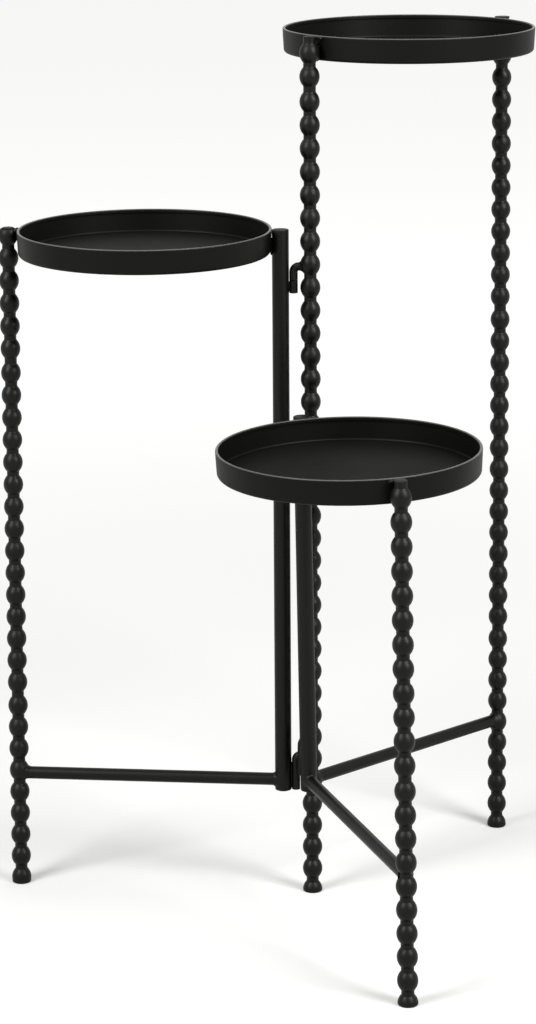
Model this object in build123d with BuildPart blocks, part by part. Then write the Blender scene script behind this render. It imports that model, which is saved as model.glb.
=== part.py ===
"""Folding three-tier metal plant stand: three welded frames, two of them hinged on the tall centre leg.

The origin is on the floor under the centre leg. X runs to the right of the photograph, Y away from it, Z up.
Each frame has a plane of its own, with x from its hinge side to its outer leg and z up along its tubes.
"""

from build123d import *
from math import cos, radians, sin, sqrt, tan
import os

os.makedirs("parts", exist_ok=True)

# Tray rims above the floor
top_rim_height = 835.0
middle_rim_height = 653.0
low_rim_height = 479.0

# Pressed trays with a slightly drafted wall and a rim folded inwards
tray_dia = 241.0
tray_depth = 23.5
tray_sheet = 1.0
tray_draft_angle = 3.0
tray_corner_radius = 3.0
fold_gap = 0.8
lip_height = 3.6

# Beaded legs, rolled from round tube in passes of a fixed number of beads
leg_crest_dia = 19.0
leg_neck_dia = 11.8
leg_wall = 1.0
bead_pitch = 22.0
bead_arc_radius = 12.5
beads_per_pass = 15
pass_step = 1.5
leg_rise = 0.5

# Where each leg was cut: from its top end down to its first neck, and the beads before its first pass mark
centre_leg_first_neck, centre_leg_first_beads = 5.0, 2
rear_leg_first_neck, rear_leg_first_beads = 5.5, 13
left_leg_first_neck, left_leg_first_beads = 18.5, 5
front_leg_first_neck, front_leg_first_beads = 4.5, 12

# Legs that were cut just above a neck end in a short straight neck
cut_above_neck = 5.25

# Plain posts on the hinge side of the two swinging frames
post_dia = 16.0
post_wall = 1.2
post_below_stretcher = 10.0

# Stretchers near the floor
stretcher_dia = 12.0
stretcher_wall = 1.0
left_stretcher_height = 112.5
centre_stretcher_height = 114.0
front_stretcher_height = 120.5

# End plugs and foot glides
cap_thickness = 1.5
cap_edge_radius = 0.7
foot_thickness = 2.5
foot_edge_radius = 1.0
plug_depth = 12.0
plug_clearance = 0.15

# Hinges: a bent arm on the centre leg, turned down to a pin that is riveted into a barrel on the post
arm_dia = 8.0
arm_bend_radius = 5.0
pin_reach = 15.8
pin_dia = 5.0
pin_clearance = 0.05
rivet_depth = 1.0
rivet_spread = 0.7
barrel_dia = 8.0
barrel_axial_gap = 0.3
upper_barrel_length = 12.0
lower_barrel_length = 28.0
upper_arm_drop = 13.0
lower_arm_drop = 6.0
upper_hinge_below_post_top = 35.5
left_lower_hinge_above_stretcher = 25.0
front_lower_hinge_above_stretcher = 36.0

# Welds
weld_gap = 0.3
weld_radius = 2.6
tray_weld_length = 17.0
tray_weld_middle = 16.0
tray_weld_below_rim = 0.5
barrel_weld_margin = 2.0
collar_length = 2.2
collar_spread = 1.6
collar_edge = 0.2

# Directions seen from above, in degrees from X: the frames, and the hinge arms round the centre leg
centre_frame_angle = 43.0
left_frame_angle = 175.7
left_hook_angle = 175.7
front_frame_angle = -71.0
front_hook_angle = -130.0
front_frame_lean = 0.9

# Sizes that follow
leg_radius = leg_crest_dia / 2
neck_radius = leg_neck_dia / 2
post_radius = post_dia / 2
tray_radius = tray_dia / 2
rim_width = 2 * tray_sheet + fold_gap
stretcher_radius = stretcher_dia / 2
arm_radius = arm_dia / 2
pin_radius = pin_dia / 2
barrel_radius = barrel_dia / 2
bore_radius = pin_radius + pin_clearance
pin_to_post = post_radius + weld_gap + barrel_radius
post_to_tray = post_radius + weld_gap + tray_radius
leg_to_tray = leg_radius + weld_gap + tray_radius
leg_span = 2 * leg_to_tray
post_span = post_to_tray + leg_to_tray


def frame_plane(hook_angle, frame_angle, lean, pivot_height):
    """Plane of a swinging frame, with its origin on the post's axis and leaning about the pivot height."""
    outward = Vector(cos(radians(frame_angle)), sin(radians(frame_angle)), 0)
    side = Vector(outward.Y, -outward.X, 0)
    pin = Vector(cos(radians(hook_angle)), sin(radians(hook_angle)), 0) * pin_reach
    up = Vector(0, 0, cos(radians(lean))) + side * sin(radians(lean))
    foot_lift = Vector(0, 0, leg_radius * sin(radians(lean)))
    origin = pin + outward * pin_to_post - side * (tan(radians(lean)) * pivot_height) + foot_lift
    return Plane(origin=origin, x_dir=outward, z_dir=up)


# Heights of the upper and lower hinge arms
left_hinges = (
    middle_rim_height + leg_rise - upper_hinge_below_post_top,
    left_stretcher_height + left_lower_hinge_above_stretcher,
)
front_hinges = (
    low_rim_height + leg_rise - upper_hinge_below_post_top,
    front_stretcher_height + front_lower_hinge_above_stretcher,
)
centre_frame = Plane(
    origin=(0, 0, 0),
    x_dir=(cos(radians(centre_frame_angle)), sin(radians(centre_frame_angle)), 0),
    z_dir=(0, 0, 1),
)
left_frame = frame_plane(left_hook_angle, left_frame_angle, 0, 0)
front_frame = frame_plane(front_hook_angle, front_frame_angle, front_frame_lean, sum(front_hinges) / 2)


def upright(frame, x):
    """Plane through a tube's axis: local x along the frame, local y up."""
    return Plane(origin=frame.from_local_coords((x, 0, 0)), x_dir=frame.x_dir, z_dir=-frame.y_dir)


def level(frame, x, height):
    """Plane square to the frame's tubes at a height."""
    return Plane(origin=frame.from_local_coords((x, 0, height)), x_dir=frame.x_dir, z_dir=frame.z_dir)


def crosswise(frame, x, height):
    """Plane square to the frame's stretcher, facing outwards."""
    return Plane(origin=frame.from_local_coords((x, 0, height)), x_dir=frame.y_dir, z_dir=frame.x_dir)


def tube_axis(frame, x):
    return Axis(frame.from_local_coords((x, 0, 0)), frame.z_dir)


def finish(piece, name):
    piece.part.label = name
    export_step(piece.part, f"parts/{name}.step")
    return piece.part


# Beaded tube


def bead_heights(top, first_neck, first_beads):
    """Heights of the beads' middles from below the floor to above the leg's top, with the pass steps."""
    heights = [top - first_neck + 1.5 * bead_pitch, top - first_neck + 0.5 * bead_pitch]
    while heights[-1] > -bead_pitch:
        beads = len(heights) - 2
        at_mark = beads >= first_beads and (beads - first_beads) % beads_per_pass == 0
        heights.append(heights[-1] - bead_pitch - (pass_step if at_mark else 0))
    return heights[::-1]


def bead_arcs(shrink):
    """Arc radii of the beads and of the necks, and the radius and half height where the two arcs meet."""
    reach = leg_radius - neck_radius
    neck_arc_radius = (bead_pitch**2 / 4 - reach * (2 * bead_arc_radius - reach)) / (2 * reach)
    arc, neck_arc = bead_arc_radius - shrink, neck_arc_radius + shrink
    share = arc / (arc + neck_arc)
    centre = leg_radius - bead_arc_radius
    return arc, neck_arc, centre + share * (neck_radius + neck_arc_radius - centre), share * bead_pitch / 2


def outer_radius(height, beads):
    """Outer radius of a beaded tube at a height."""
    offset = min(abs(height - middle) for middle in beads)
    arc, neck_arc, join_radius, join_half = bead_arcs(0)
    if offset <= join_half:
        return leg_radius - arc + sqrt(arc**2 - offset**2)
    return neck_radius + neck_arc - sqrt(neck_arc**2 - max(bead_pitch / 2 - offset, 0) ** 2)


def beaded_line(beads, shrink, straight=False):
    """Upward outline of a beaded tube: arcs of beads and necks, the last neck carried on where straight."""
    crest, neck = leg_radius - shrink, neck_radius - shrink
    arc, neck_arc, join_radius, join_half = bead_arcs(shrink)
    edges = []
    for low, high in zip(beads, beads[1:]):
        neck_start, neck_end = (join_radius, low + join_half), (join_radius, high - join_half)
        neck_low, neck_high = (neck, low + bead_pitch / 2), (neck, high - bead_pitch / 2)
        if straight and high == beads[-1]:
            edges.append(TangentArc(neck_low, neck_start, tangent=(0, -1), mode=Mode.PRIVATE))
            edges.append(Line(neck_low, (neck, high), mode=Mode.PRIVATE))
            return edges
        if high - low < bead_pitch + pass_step / 2:
            edges.append(ThreePointArc(neck_start, neck_low, neck_end, mode=Mode.PRIVATE))
        else:
            edges.append(TangentArc(neck_low, neck_start, tangent=(0, -1), mode=Mode.PRIVATE))
            edges.append(Line(neck_low, neck_high, mode=Mode.PRIVATE))
            edges.append(TangentArc(neck_high, neck_end, tangent=(0, 1), mode=Mode.PRIVATE))
        if high != beads[-1]:
            bead_end = (join_radius, high + join_half)
            edges.append(ThreePointArc(neck_end, (crest, high), bead_end, mode=Mode.PRIVATE))
    return edges


def line_ends(beads, shrink, straight=False):
    """Lowest and highest point of the outline of a beaded tube."""
    arc, neck_arc, join_radius, join_half = bead_arcs(shrink)
    high = (neck_radius - shrink, beads[-1]) if straight else (join_radius, beads[-1] - join_half)
    return (join_radius, beads[0] + join_half), high


def ends_straight(top, beads):
    """Whether a leg was cut so close above a neck that it ends in that neck."""
    first_neck = max(middle for middle in beads if middle < top) + bead_pitch / 2
    return 0 < top - first_neck < cut_above_neck


def beaded_leg(name, frame, x, top, beads):
    """Hollow beaded tube from the foot's flange to the cap's flange."""
    low, high = foot_thickness, top - cap_thickness
    straight = ends_straight(top, beads)
    beads = beads[:-1] if straight else beads
    with BuildPart() as leg:
        with BuildSketch(upright(frame, x)):
            with BuildLine():
                add(beaded_line(beads, 0, straight))
                add(beaded_line(beads, leg_wall, straight))
                outside_ends = line_ends(beads, 0, straight)
                inside_ends = line_ends(beads, leg_wall, straight)
                for outside, inside in zip(outside_ends, inside_ends):
                    Line(outside, inside)
            make_face()
            with Locations((leg_radius, (low + high) / 2)):
                Rectangle(leg_crest_dia, high - low, mode=Mode.INTERSECT)
        revolve(axis=tube_axis(frame, x))
    return finish(leg, name)


def leg_envelope(frame, x, beads, height, half_length):
    """Solid form of a beaded leg near a height, which other pieces are cut to."""
    near = [middle for middle in beads if abs(middle - height) < half_length + 2 * bead_pitch]
    low, high = line_ends(near, 0)
    with BuildPart() as envelope:
        with BuildSketch(upright(frame, x)):
            with BuildLine():
                add(beaded_line(near, 0))
                Polyline(low, (0, low[1]), (0, high[1]), high)
            make_face()
        revolve(axis=tube_axis(frame, x))
    return envelope.part


def post_envelope(frame, height, half_length):
    """Solid form of a post near a height."""
    with BuildPart() as envelope:
        with BuildSketch(level(frame, 0, height - half_length)):
            Circle(post_radius)
        extrude(amount=2 * half_length)
    return envelope.part


# Plugs in the tube ends


def end_plug(name, frame, x, end, inward, flange_radius, stem_radius, thickness, edge_radius):
    """Flange flush with the tube and a stem inside it. Inward is -1 at a top end and 1 at a bottom end."""
    seat = end + inward * thickness
    with BuildPart() as plug:
        with BuildSketch(upright(frame, x)):
            with BuildLine():
                Polyline(
                    (0, end),
                    (flange_radius, end),
                    (flange_radius, seat),
                    (stem_radius, seat),
                    (stem_radius, seat + inward * plug_depth),
                    (0, seat + inward * plug_depth),
                    close=True,
                )
            make_face()
        revolve(axis=tube_axis(frame, x))
        end_face = plug.faces().sort_by(Axis(frame.origin, frame.z_dir))[0 if inward > 0 else -1]
        fillet(end_face.edges(), edge_radius)
    return finish(plug, name)


# Posts, stretchers and trays


def round_post(name, frame, low, high):
    """Plain round tube between its two plugs' flanges."""
    with BuildPart() as post:
        with BuildSketch(level(frame, 0, low + cap_thickness)):
            Circle(post_radius)
            Circle(post_radius - post_wall, mode=Mode.SUBTRACT)
        extrude(amount=high - low - 2 * cap_thickness)
    return finish(post, name)


def stretcher(name, frame, span, height, inner_envelope, outer_envelope):
    """Round tube from the hinge side to the outer leg, its ends cut to the tubes that it is welded to."""
    with BuildPart() as rod:
        with BuildSketch(crosswise(frame, 0, height)):
            Circle(stretcher_radius)
            Circle(stretcher_radius - stretcher_wall, mode=Mode.SUBTRACT)
        extrude(amount=span)
        add(inner_envelope, mode=Mode.SUBTRACT)
        add(outer_envelope, mode=Mode.SUBTRACT)
    return finish(rod, name)


def tray_wall(rim_height):
    """Points of a tray's outer side: where the corner begins and ends, and where the fold begins."""
    draft = radians(tray_draft_angle)
    floor = rim_height - tray_depth
    fold = rim_height - rim_width / 2
    corner_high = floor + tray_corner_radius * (1 - sin(draft))
    wall_low = tray_radius - (fold - corner_high) * tan(draft)
    corner_in = wall_low - tray_corner_radius * cos(draft)
    return (corner_in, floor), (wall_low, corner_high), (tray_radius, fold)


def sheet_inside(point):
    """Point of the drafted wall's inner side that lies opposite a point of its outer side."""
    draft = radians(tray_draft_angle)
    return point[0] - tray_sheet * cos(draft), point[1] + tray_sheet * sin(draft)


def tray_outline(rim_height):
    """Closed section of a tray: floor, rounded corner, wall and the rim folded inwards and down."""
    corner_in, wall_low, wall_high = tray_wall(rim_height)
    fold = wall_high[1]
    lip_low = rim_height - lip_height
    lip_inside = tray_radius - rim_width
    lip_outside = lip_inside + tray_sheet
    wall_top = (tray_radius - tray_sheet, fold)
    above = (corner_in[0], corner_in[1] + tray_sheet)
    Polyline(corner_in, (0, corner_in[1]), (0, above[1]), above)
    TangentArc(above, sheet_inside(wall_low), tangent=(1, 0))
    Line(sheet_inside(wall_low), wall_top)
    ThreePointArc(wall_top, (lip_outside + fold_gap / 2, fold + fold_gap / 2), (lip_outside, fold))
    Polyline((lip_outside, fold), (lip_outside, lip_low), (lip_inside, lip_low), (lip_inside, fold))
    ThreePointArc((lip_inside, fold), (lip_inside + rim_width / 2, rim_height), wall_high)
    Line(wall_high, wall_low)
    TangentArc(corner_in, wall_low, tangent=(1, 0))


def tray(name, frame, x, rim_height):
    with BuildPart() as pan:
        with BuildSketch(upright(frame, x)):
            with BuildLine():
                tray_outline(rim_height)
            make_face()
        revolve(axis=tube_axis(frame, x))
    return finish(pan, name)


def tray_envelope(frame, x, rim_height):
    """Solid drum in the outer form of a tray."""
    corner_in, wall_low, wall_high = tray_wall(rim_height)
    with BuildPart() as drum:
        with BuildSketch(upright(frame, x)):
            with BuildLine():
                TangentArc(corner_in, wall_low, tangent=(1, 0))
                Polyline(wall_low, wall_high, (tray_radius, rim_height), (0, rim_height))
                Polyline((0, rim_height), (0, corner_in[1]), corner_in)
            make_face()
        revolve(axis=tube_axis(frame, x))
    return drum.part


# Hinges


def hook_plane(hook_angle, height):
    """Upright plane through the centre leg and a pin: local x outwards from the leg, local y up."""
    outward = Vector(cos(radians(hook_angle)), sin(radians(hook_angle)), 0)
    return Plane(origin=(0, 0, height), x_dir=outward, z_dir=Vector(outward.Y, -outward.X, 0))


def pin_axis(hook_angle):
    at = Vector(cos(radians(hook_angle)), sin(radians(hook_angle)), 0) * pin_reach
    return Axis(at, (0, 0, 1))


def hinge_arm(name, hook_angle, height, drop, barrel_length, envelope):
    """Rod from the centre leg, bent down and turned to a pin, its end spread in the barrel's countersink."""
    shoulder = -drop
    pin_end = shoulder - barrel_axial_gap - barrel_length
    plane = hook_plane(hook_angle, height)
    bend_start = plane.from_local_coords((pin_reach - arm_bend_radius, 0, 0))
    bend_centre = plane.from_local_coords((pin_reach - arm_bend_radius, -arm_bend_radius, 0))
    bend_end = plane.from_local_coords((pin_reach, -arm_bend_radius, 0))
    with BuildPart() as arm:
        with BuildSketch(Plane(origin=plane.origin, x_dir=plane.z_dir, z_dir=plane.x_dir)):
            Circle(arm_radius)
        extrude(amount=pin_reach - arm_bend_radius)
        with BuildSketch(Plane(origin=bend_start, x_dir=plane.z_dir, z_dir=plane.x_dir)):
            Circle(arm_radius)
        revolve(axis=Axis(bend_centre, -plane.z_dir), revolution_arc=90)
        with BuildSketch(Plane(origin=bend_end, x_dir=plane.z_dir, z_dir=(0, 0, -1))):
            Circle(arm_radius)
        extrude(amount=drop - arm_bend_radius)
        with BuildSketch(plane):
            with BuildLine():
                Polyline(
                    (pin_reach, shoulder),
                    (pin_reach + pin_radius, shoulder),
                    (pin_reach + pin_radius, pin_end + rivet_depth),
                    (pin_reach + pin_radius + rivet_spread, pin_end + pin_clearance),
                    (pin_reach, pin_end + pin_clearance),
                    close=True,
                )
            make_face()
        revolve(axis=pin_axis(hook_angle))
        add(envelope, mode=Mode.SUBTRACT)
    return finish(arm, name)


def hinge_barrel(name, hook_angle, height, drop, length):
    """Short tube round the pin, countersunk at its lower end for the spread pin."""
    low = height - drop - barrel_axial_gap - length
    pin = pin_axis(hook_angle).position
    with BuildPart() as barrel:
        with BuildSketch(Plane(origin=(pin.X, pin.Y, low), z_dir=(0, 0, 1))):
            Circle(barrel_radius)
            Circle(bore_radius, mode=Mode.SUBTRACT)
        extrude(amount=length)
        bore_edges = barrel.edges().filter_by(GeomType.CIRCLE).group_by(Axis.Z)[0].sort_by(SortBy.RADIUS)
        chamfer(bore_edges[0], rivet_depth)
    return finish(barrel, name)


def barrel_envelope(hook_angle, height, drop, length):
    low = height - drop - barrel_axial_gap - length
    pin = pin_axis(hook_angle).position
    with BuildPart() as envelope:
        with BuildSketch(Plane(origin=(pin.X, pin.Y, low - weld_radius), z_dir=(0, 0, 1))):
            Circle(barrel_radius)
        extrude(amount=length + 2 * weld_radius)
    return envelope.part


# Welds


def seam_weld(plane, x, length, cutters, way=1):
    """Upright round-ended run of weld in a groove. Its section is turned from the side that way points to."""
    half = length / 2 - weld_radius
    slant = weld_radius * sin(radians(45))
    with BuildPart() as weld:
        with BuildSketch(plane):
            with BuildLine():
                Line((x, -half - weld_radius), (x, half + weld_radius))
                ThreePointArc(
                    (x, half + weld_radius),
                    (x + way * slant, half + slant),
                    (x + way * weld_radius, half),
                )
                Line((x + way * weld_radius, half), (x + way * weld_radius, -half))
                ThreePointArc(
                    (x + way * weld_radius, -half),
                    (x + way * slant, -half - slant),
                    (x, -half - weld_radius),
                )
            make_face()
        revolve(axis=Axis(plane.from_local_coords((x, 0, 0)), plane.y_dir))
        for cutter in cutters:
            add(cutter, mode=Mode.SUBTRACT)
    return weld.part


def collar_weld(plane, surface, radius, length, cutters):
    """Ring of weld round a rod where it meets a tube. The plane's local x runs along the rod."""
    with BuildPart() as weld:
        with BuildSketch(plane):
            with BuildLine():
                Polyline(
                    (0, radius),
                    (surface + length, radius),
                    (surface + length, radius + collar_edge),
                    (surface, radius + collar_spread),
                    (0, radius + collar_spread),
                    close=True,
                )
            make_face()
        revolve(axis=Axis(plane.origin, plane.x_dir))
        for cutter in cutters:
            add(cutter, mode=Mode.SUBTRACT)
    return weld.part


def weld_group(name, welds):
    """All welds of one frame, as separate solids in one piece."""
    with BuildPart() as group:
        for weld in welds:
            add(weld)
    return finish(group, name)


def weld_place(rim_height, beads):
    """Height and length of a weld at a tray: on the bead that stands nearest to the middle of the wall."""
    if not beads:
        return rim_height - tray_weld_middle, tray_weld_length
    crest = min(beads, key=lambda middle: abs(middle - rim_height + tray_depth / 2))
    return crest, min(tray_weld_length, 2 * (rim_height - tray_weld_below_rim - crest))


def tray_welds(frame, tray_x, rim_height, tubes):
    """Welds between a tray's wall and its two tubes, given as (side, x, radius, beads, envelope)."""
    drum = tray_envelope(frame, tray_x, rim_height)
    welds = []
    for side, tube_x, radius, beads, envelope in tubes:
        height, length = weld_place(rim_height, beads)
        plane = Plane(
            origin=frame.from_local_coords((tube_x, 0, height)), x_dir=frame.x_dir, z_dir=-frame.y_dir
        )
        wall = radius + weld_gap + (rim_height - rim_width / 2 - height) * tan(radians(tray_draft_angle))
        welds.append(seam_weld(plane, side * (radius + wall) / 2, length, [drum, envelope], -side))
    return welds


def stretcher_welds(frame, span, height, inner, outer):
    """Rings of weld at a stretcher's two ends. Inner and outer are (tube radius, envelope)."""
    start = Plane(
        origin=frame.from_local_coords((0, 0, height)), x_dir=frame.x_dir, z_dir=-frame.y_dir
    )
    end = Plane(
        origin=frame.from_local_coords((span, 0, height)), x_dir=-frame.x_dir, z_dir=frame.y_dir
    )
    return [
        collar_weld(start, inner[0], stretcher_radius, collar_length, [inner[1]]),
        collar_weld(end, outer[0], stretcher_radius, collar_length, [outer[1]]),
    ]


def barrel_weld(frame, hook_angle, height, drop, length, post):
    """Weld in the groove between a post and a barrel."""
    middle = height - drop - barrel_axial_gap - length / 2
    post_at = frame.from_local_coords((0, 0, middle))
    pin = pin_axis(hook_angle).position
    away = Vector(pin.X - post_at.X, pin.Y - post_at.Y, 0)
    plane = Plane(origin=post_at, x_dir=away, z_dir=away.cross(Vector(0, 0, 1)))
    groove = (away.length - barrel_radius + post_radius) / 2
    barrel = barrel_envelope(hook_angle, height, drop, length)
    return seam_weld(plane, groove, length - barrel_weld_margin, [post, barrel])


# Centre frame: the tall centre leg that carries the hinge arms, the rear leg and the top tray

centre_top = top_rim_height + leg_rise
centre_beads = bead_heights(centre_top, centre_leg_first_neck, centre_leg_first_beads)
rear_beads = bead_heights(centre_top, rear_leg_first_neck, rear_leg_first_beads)


def envelope_pair(frame, x, beads, rim_height, stretcher_height):
    """A leg's solid form at the tray and at the stretcher."""
    return (
        leg_envelope(frame, x, beads, rim_height - tray_weld_middle, tray_depth),
        leg_envelope(frame, x, beads, stretcher_height, stretcher_dia),
    )


def leg_with_ends(prefix, frame, x, top, beads):
    """A beaded leg with its top cap and its foot glide."""
    beaded_leg(prefix, frame, x, top, beads)
    stem_radius = neck_radius - leg_wall - plug_clearance
    cap_radius = neck_radius if ends_straight(top, beads) else outer_radius(top - cap_thickness, beads)
    foot_radius = outer_radius(foot_thickness, beads)
    end_plug(f"{prefix}_cap", frame, x, top, -1, cap_radius, stem_radius, cap_thickness, cap_edge_radius)
    end_plug(f"{prefix}_foot", frame, x, 0, 1, foot_radius, stem_radius, foot_thickness, foot_edge_radius)


leg_with_ends("centre_leg", centre_frame, 0, centre_top, centre_beads)
leg_with_ends("rear_leg", centre_frame, leg_span, centre_top, rear_beads)
tray("top_tray", centre_frame, leg_to_tray, top_rim_height)
centre_at_tray, centre_at_stretcher = envelope_pair(
    centre_frame, 0, centre_beads, top_rim_height, centre_stretcher_height
)
rear_at_tray, rear_at_stretcher = envelope_pair(
    centre_frame, leg_span, rear_beads, top_rim_height, centre_stretcher_height
)
stretcher(
    "centre_stretcher",
    centre_frame,
    leg_span,
    centre_stretcher_height,
    centre_at_stretcher,
    rear_at_stretcher,
)

centre_welds = tray_welds(
    centre_frame,
    leg_to_tray,
    top_rim_height,
    [
        (1, 0, leg_radius, centre_beads, centre_at_tray),
        (-1, leg_span, leg_radius, rear_beads, rear_at_tray),
    ],
)
centre_welds += stretcher_welds(
    centre_frame,
    leg_span,
    centre_stretcher_height,
    (leg_radius, centre_at_stretcher),
    (leg_radius, rear_at_stretcher),
)
for side, hook_angle, heights in (
    ("left", left_hook_angle, left_hinges),
    ("front", front_hook_angle, front_hinges),
):
    for level_name, height, drop, length in (
        ("upper", heights[0], upper_arm_drop, upper_barrel_length),
        ("lower", heights[1], lower_arm_drop, lower_barrel_length),
    ):
        leg_near = leg_envelope(centre_frame, 0, centre_beads, height, arm_dia)
        hinge_arm(f"{side}_{level_name}_hinge_arm", hook_angle, height, drop, length, leg_near)
        arm_plane = hook_plane(hook_angle, height)
        arm_straight = pin_reach - arm_bend_radius - leg_radius
        centre_welds.append(collar_weld(arm_plane, leg_radius, arm_radius, arm_straight, [leg_near]))
weld_group("centre_frame_welds", centre_welds)


# Swinging frames: a post hinged on the centre leg, a tray, a stretcher and a beaded outer leg


def swinging_frame(
    side, tray_name, frame, hook_angle, rim_height, stretcher_height, hinges, first_neck, first_beads
):
    """A frame's nine pieces and its welds."""
    top = rim_height + leg_rise
    post_low = stretcher_height - post_below_stretcher
    beads = bead_heights(top, first_neck, first_beads)
    leg_with_ends(f"{side}_leg", frame, post_span, top, beads)
    round_post(f"{side}_post", frame, post_low, top)
    stem_radius = post_radius - post_wall - plug_clearance
    for end_name, end, inward in (("top", top, -1), ("bottom", post_low, 1)):
        name = f"{side}_post_{end_name}_cap"
        end_plug(name, frame, 0, end, inward, post_radius, stem_radius, cap_thickness, cap_edge_radius)
    tray(tray_name, frame, post_to_tray, rim_height)

    leg_at_tray, leg_at_stretcher = envelope_pair(frame, post_span, beads, rim_height, stretcher_height)
    post_at_tray = post_envelope(frame, rim_height - tray_weld_middle, tray_depth)
    post_at_stretcher = post_envelope(frame, stretcher_height, stretcher_dia)
    stretcher(f"{side}_stretcher", frame, post_span, stretcher_height, post_at_stretcher, leg_at_stretcher)
    welds = tray_welds(
        frame,
        post_to_tray,
        rim_height,
        [
            (1, 0, post_radius, [], post_at_tray),
            (-1, post_span, leg_radius, beads, leg_at_tray),
        ],
    )
    welds += stretcher_welds(
        frame, post_span, stretcher_height, (post_radius, post_at_stretcher), (leg_radius, leg_at_stretcher)
    )
    for level_name, height, drop, length in (
        ("upper", hinges[0], upper_arm_drop, upper_barrel_length),
        ("lower", hinges[1], lower_arm_drop, lower_barrel_length),
    ):
        hinge_barrel(f"{side}_{level_name}_barrel", hook_angle, height, drop, length)
        post_near = post_envelope(frame, height - drop - length / 2, length)
        welds.append(barrel_weld(frame, hook_angle, height, drop, length, post_near))
    weld_group(f"{side}_frame_welds", welds)


swinging_frame(
    "left",
    "middle_tray",
    left_frame,
    left_hook_angle,
    middle_rim_height,
    left_stretcher_height,
    left_hinges,
    left_leg_first_neck,
    left_leg_first_beads,
)
swinging_frame(
    "front",
    "low_tray",
    front_frame,
    front_hook_angle,
    low_rim_height,
    front_stretcher_height,
    front_hinges,
    front_leg_first_neck,
    front_leg_first_beads,
)
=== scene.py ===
import math

import bpy
import numpy as np
from bpy.props import FloatProperty, FloatVectorProperty, PointerProperty
from mathutils import Matrix, Vector


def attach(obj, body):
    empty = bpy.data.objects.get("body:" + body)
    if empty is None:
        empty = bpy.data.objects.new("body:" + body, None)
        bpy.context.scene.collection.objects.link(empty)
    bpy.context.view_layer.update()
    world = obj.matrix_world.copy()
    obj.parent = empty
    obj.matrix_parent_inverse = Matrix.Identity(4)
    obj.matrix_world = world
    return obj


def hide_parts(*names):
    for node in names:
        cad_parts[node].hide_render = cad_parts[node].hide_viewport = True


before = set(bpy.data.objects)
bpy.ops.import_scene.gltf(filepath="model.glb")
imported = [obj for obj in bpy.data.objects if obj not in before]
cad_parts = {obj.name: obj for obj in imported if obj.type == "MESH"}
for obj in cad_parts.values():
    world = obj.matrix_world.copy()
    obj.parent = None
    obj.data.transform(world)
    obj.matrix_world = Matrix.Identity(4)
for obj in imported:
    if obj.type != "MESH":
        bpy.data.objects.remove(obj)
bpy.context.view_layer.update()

bl_info = {
    "name": "Folding plant stand",
    "version": (1, 0, 0),
    "blender": (4, 5, 0),
    "location": "View3D > Sidebar > Plant stand",
    "description": "Builds a three-tier folding plant stand in black powder-coated steel",
    "category": "Add Mesh",
}

# Every length here is in metres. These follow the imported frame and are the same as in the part's source.
MM = 0.001
RIM_HEIGHTS = {"top": 835.0 * MM, "middle": 653.0 * MM, "low": 479.0 * MM}
LEG_RISE = 0.5 * MM
CUT_ABOVE_NECK = 5.25 * MM
BEAD_ARC_RADIUS = 12.5 * MM
BEADS_PER_PASS = 15
PASS_STEP = 1.5 * MM
FIRST_NECKS = {"centre": 5.0 * MM, "rear": 5.5 * MM, "left": 18.5 * MM, "front": 4.5 * MM}
FIRST_BEADS = {"centre": 2, "rear": 13, "left": 5, "front": 12}
STRETCHER_HEIGHTS = {"left": 112.5 * MM, "centre": 114.0 * MM, "front": 120.5 * MM}
POST_BELOW_STRETCHER = 10.0 * MM
HINGE_BELOW_POST_TOP = 35.5 * MM
LOWER_HINGE_ABOVE_STRETCHER = {"left": 25.0 * MM, "front": 36.0 * MM}
ARM_DROPS = {"upper": 13.0 * MM, "lower": 6.0 * MM}
BARREL_LENGTHS = {"upper": 12.0 * MM, "lower": 28.0 * MM}
PIN_REACH = 15.8 * MM
WELD_GAP = 0.3 * MM
BARREL_GAP = 0.3 * MM
CENTRE_ANGLE = math.radians(43.0)
FRAME_ANGLES = {"left": math.radians(175.7), "front": math.radians(-71.0)}
HOOK_ANGLES = {"left": math.radians(175.7), "front": math.radians(-130.0)}
LEANS = {"left": 0.0, "front": math.radians(0.9)}
EDGE = 0.3 * MM
CAP_EDGE = 0.7 * MM
GLIDE_EDGE = 1.0 * MM
STEM_LENGTH = 12.0 * MM
STEM_GAP = 0.15 * MM
PIN_GAP = 0.05 * MM
RIVET_FLARE = 0.7 * MM
COUNTERSINK = 1.0 * MM
STRETCHER_WALL = 1.0 * MM
TRAY_DRAFT = math.radians(3.0)
TRAY_SEGMENTS = 192
# Band below a tray's rim top where the coat is glossier and painted paler, a painted highlight standing in
# for reflected light.
RIM_GLOSS_AND_HIGHLIGHT_BAND = 0.6 * MM
RIPPLE = 1.7 * MM
TRAY_WELD_RUN = 17.0 * MM
TRAY_WELD_DEPTH = 1.0 * MM
POST_WELD_BELOW_RIM = 16.0 * MM
RIM_WELD_BELOW_RIM = 2.2 * MM
RIM_WELD_RADIUS = 1.9 * MM
BARREL_WELD_DEPTH = 1.1 * MM
COLLAR_REACH = 2.2 * MM
COLLAR_SPREAD = 1.6 * MM

# Place, width and height of each soft light, and the point they are aimed at.
LIGHTS = {
    "left": ((-1.55, -1.3, 2.0), 0.9, 1.8),
    "right": ((1.55, -1.3, 2.0), 0.9, 1.8),
    "top": ((0.0, 0.3, 2.8), 1.2, 1.0),
}
LIGHTS_AIM = (0.0, 0.0, 0.45)


def length(name, description, default):
    """A length that the sidebar shows in the scene's unit."""
    return FloatProperty(
        name=name, description=description, default=default, min=0.0, precision=5, unit="LENGTH"
    )


def power(name, description, default):
    """A lamp's power in watts."""
    return FloatProperty(name=name, description=description, default=default, unit="POWER")


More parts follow.
